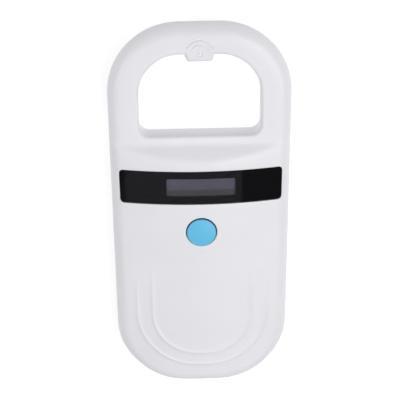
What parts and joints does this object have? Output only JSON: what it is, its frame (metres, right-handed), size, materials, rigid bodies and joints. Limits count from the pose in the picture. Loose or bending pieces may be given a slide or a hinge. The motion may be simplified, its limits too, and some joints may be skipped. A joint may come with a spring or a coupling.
{
  "type": "microchip scanner",
  "caption": "Handheld animal microchip reader with a loop antenna handle, a dark display strip and a round push button.",
  "frame": {"origin": "centre of the bounding box on the rear face, on which the scanner lies", "axes": "+Z out of the front face, +Y from the body towards the loop handle, +X to the right seen from the front"},
  "size_m": [0.079, 0.1704, 0.0224],
  "materials": {
    "shell": "fine satin moulded ABS, cool white",
    "window": "clear glossy cover",
    "mask": "black printed film",
    "adhesive": "black double-sided tape",
    "button": "satin sky-blue plastic",
    "panel": "dark display glass",
    "foam": "closed-cell foam",
    "black_plastic": "moulded black plastic",
    "cream_plastic": "moulded cream nylon",
    "polyimide": "amber flexible circuit",
    "board": "green solder mask",
    "chip": "black moulded package",
    "ceramic": "fired ceramic with tinned ends",
    "steel": "bright plated steel",
    "copper": "enamelled copper winding",
    "cell": "silver laminate pouch",
    "red_wire": "red insulated wire",
    "black_wire": "black insulated wire",
    "label": "blank silver-grey label"
  },
  "bodies": {
    "housing": {"front_shell": "shell", "rear_shell": "shell", "display_window": "window", "window_mask": "mask", "window_adhesive": "adhesive", "display_panel": "panel", "display_gasket": "foam", "display_carrier": "black_plastic", "display_cable": "polyimide", "cable_connector": "cream_plastic", "switch_base": "black_plastic", "switch_cover": "steel", "switch_terminals": "steel", "main_board": "board", "microcontroller": "chip", "reader_chip": "chip", "charger_chip": "chip", "clock_crystal": "steel", "power_inductor": "chip", "resistors": "chip", "capacitors": "ceramic", "buzzer": "black_plastic", "socket_shell": "steel", "socket_tongue": "black_plastic", "antenna_coil": "copper", "coil_leads": "copper", "coil_terminals": "steel", "battery_cell": "cell", "battery_tape": "foam", "insulation_sheet": "polyimide", "cell_board": "board", "battery_header": "cream_plastic", "battery_plug": "cream_plastic", "battery_wire_red": "red_wire", "battery_wire_black": "black_wire", "shell_screws": "steel", "board_screws": "steel", "rear_label": "label"},
    "button": {"button_cap": "button"},
    "plunger": {"switch_plunger": "black_plastic"}
  },
  "joints": [
    {"name": "button_press", "type": "slide", "parent": "housing", "child": "button", "axis": [0, 0, -1], "range_m": [0, 0.0005], "stiffness_N_per_m": 1000},
    {"name": "plunger_press", "type": "slide", "parent": "housing", "child": "plunger", "axis": [0, 0, -1], "range_m": [0, 0.0005]}
  ],
  "couplings": [
    {"joint": "plunger_press", "follows": "button_press", "ratio": 1}
  ]
}
